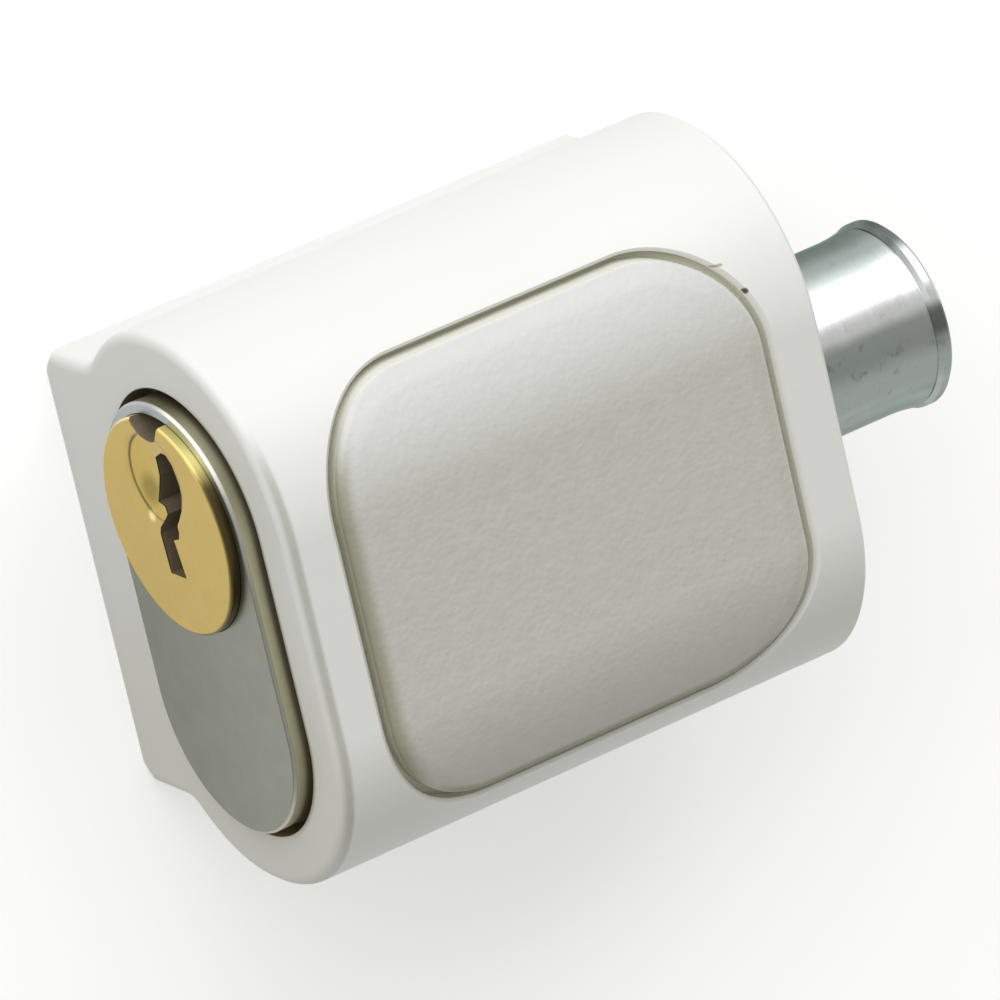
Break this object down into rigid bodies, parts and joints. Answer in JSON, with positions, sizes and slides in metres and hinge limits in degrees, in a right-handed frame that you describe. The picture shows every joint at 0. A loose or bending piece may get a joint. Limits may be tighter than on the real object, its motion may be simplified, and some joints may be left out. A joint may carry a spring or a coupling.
{
  "type": "window lock",
  "caption": "Surface-mounted push lock for a sliding window: white die-cast body, textured cover, oval key cylinder that slides in with the bolt, brass plug.",
  "frame": {"origin": "centre of the four fixing holes, on the mounting face", "axes": "+X along the bolt, out of the body; +Z out of the mounting face; +Y across the body, towards the plug's side of the oval cylinder"},
  "size_m": [0.0589, 0.04, 0.0287],
  "materials": {
    "white_coat": "smooth white powder coat",
    "grey_plastic": "fine moulded grain",
    "satin_nickel": "satin nickel plating",
    "plug_brass": "turned brass",
    "pin_brass": "turned brass",
    "plated_steel": "clear zinc plating",
    "hardened_steel": "ground, oiled",
    "screw_steel": "zinc plated",
    "spring_steel": "drawn wire and strip",
    "zinc_casting": "zinc die casting, bare"
  },
  "bodies": {
    "housing": {"housing": "white_coat", "cover_panel": "grey_plastic", "catch_leaf": "spring_steel", "return_spring": "spring_steel"},
    "carriage": {"cylinder_body": "satin_nickel", "chamber_strip": "pin_brass", "bolt_carrier": "zinc_casting", "carrier_screws": "screw_steel", "bolt": "plated_steel", "bolt_pin": "hardened_steel", "latch_spring": "spring_steel", "pin_spring_1": "spring_steel", "pin_spring_2": "spring_steel", "pin_spring_3": "spring_steel", "pin_spring_4": "spring_steel", "pin_spring_5": "spring_steel"},
    "plug": {"plug": "plug_brass", "plug_clip": "spring_steel", "withdrawing_cam": "hardened_steel"},
    "latch": {"latch": "hardened_steel"},
    "key_pin_1": {"key_pin_1": "pin_brass"},
    "driver_pin_1": {"driver_pin_1": "pin_brass"},
    "key_pin_2": {"key_pin_2": "pin_brass"},
    "driver_pin_2": {"driver_pin_2": "pin_brass"},
    "key_pin_3": {"key_pin_3": "pin_brass"},
    "driver_pin_3": {"driver_pin_3": "pin_brass"},
    "key_pin_4": {"key_pin_4": "pin_brass"},
    "driver_pin_4": {"driver_pin_4": "pin_brass"},
    "key_pin_5": {"key_pin_5": "pin_brass"},
    "driver_pin_5": {"driver_pin_5": "pin_brass"}
  },
  "joints": [
    {"name": "cylinder_push", "type": "slide", "parent": "housing", "child": "carriage", "axis": [1, 0, 0], "range_m": [-0.012, 0], "deforming": ["return_spring", "catch_leaf"]},
    {"name": "plug_turn", "type": "hinge", "parent": "carriage", "child": "plug", "pos_m": [-0.02265, 0.00705, 0.0158], "axis": [1, 0, 0], "range_deg": [0, 90], "stiffness_Nm_per_rad": 0.002, "springref_deg": -28.65},
    {"name": "latch_slide", "type": "slide", "parent": "carriage", "child": "latch", "axis": [0, 1, 0], "range_m": [-0.00241, 0], "deforming": ["latch_spring"]},
    {"name": "key_pin_1_lift", "type": "slide", "parent": "plug", "child": "key_pin_1", "axis": [0, 1, 0], "range_m": [0, 0.0012]},
    {"name": "driver_pin_1_press", "type": "slide", "parent": "carriage", "child": "driver_pin_1", "axis": [0, -1, 0], "range_m": [0, 0.0012], "stiffness_N_per_m": 150, "springref_m": -0.001, "deforming": ["pin_spring_1"]},
    {"name": "key_pin_2_lift", "type": "slide", "parent": "plug", "child": "key_pin_2", "axis": [0, 1, 0], "range_m": [0, 0.0012]},
    {"name": "driver_pin_2_press", "type": "slide", "parent": "carriage", "child": "driver_pin_2", "axis": [0, -1, 0], "range_m": [0, 0.0012], "stiffness_N_per_m": 150, "springref_m": -0.001, "deforming": ["pin_spring_2"]},
    {"name": "key_pin_3_lift", "type": "slide", "parent": "plug", "child": "key_pin_3", "axis": [0, 1, 0], "range_m": [0, 0.0012]},
    {"name": "driver_pin_3_press", "type": "slide", "parent": "carriage", "child": "driver_pin_3", "axis": [0, -1, 0], "range_m": [0, 0.0012], "stiffness_N_per_m": 150, "springref_m": -0.001, "deforming": ["pin_spring_3"]},
    {"name": "key_pin_4_lift", "type": "slide", "parent": "plug", "child": "key_pin_4", "axis": [0, 1, 0], "range_m": [0, 0.0012]},
    {"name": "driver_pin_4_press", "type": "slide", "parent": "carriage", "child": "driver_pin_4", "axis": [0, -1, 0], "range_m": [0, 0.0012], "stiffness_N_per_m": 150, "springref_m": -0.001, "deforming": ["pin_spring_4"]},
    {"name": "key_pin_5_lift", "type": "slide", "parent": "plug", "child": "key_pin_5", "axis": [0, 1, 0], "range_m": [0, 0.0012]},
    {"name": "driver_pin_5_press", "type": "slide", "parent": "carriage", "child": "driver_pin_5", "axis": [0, -1, 0], "range_m": [0, 0.0012], "stiffness_N_per_m": 150, "springref_m": -0.001, "deforming": ["pin_spring_5"]}
  ],
  "couplings": [
    {"joint": "latch_slide", "follows": "plug_turn", "m_per_rad": -0.0015279}
  ]
}
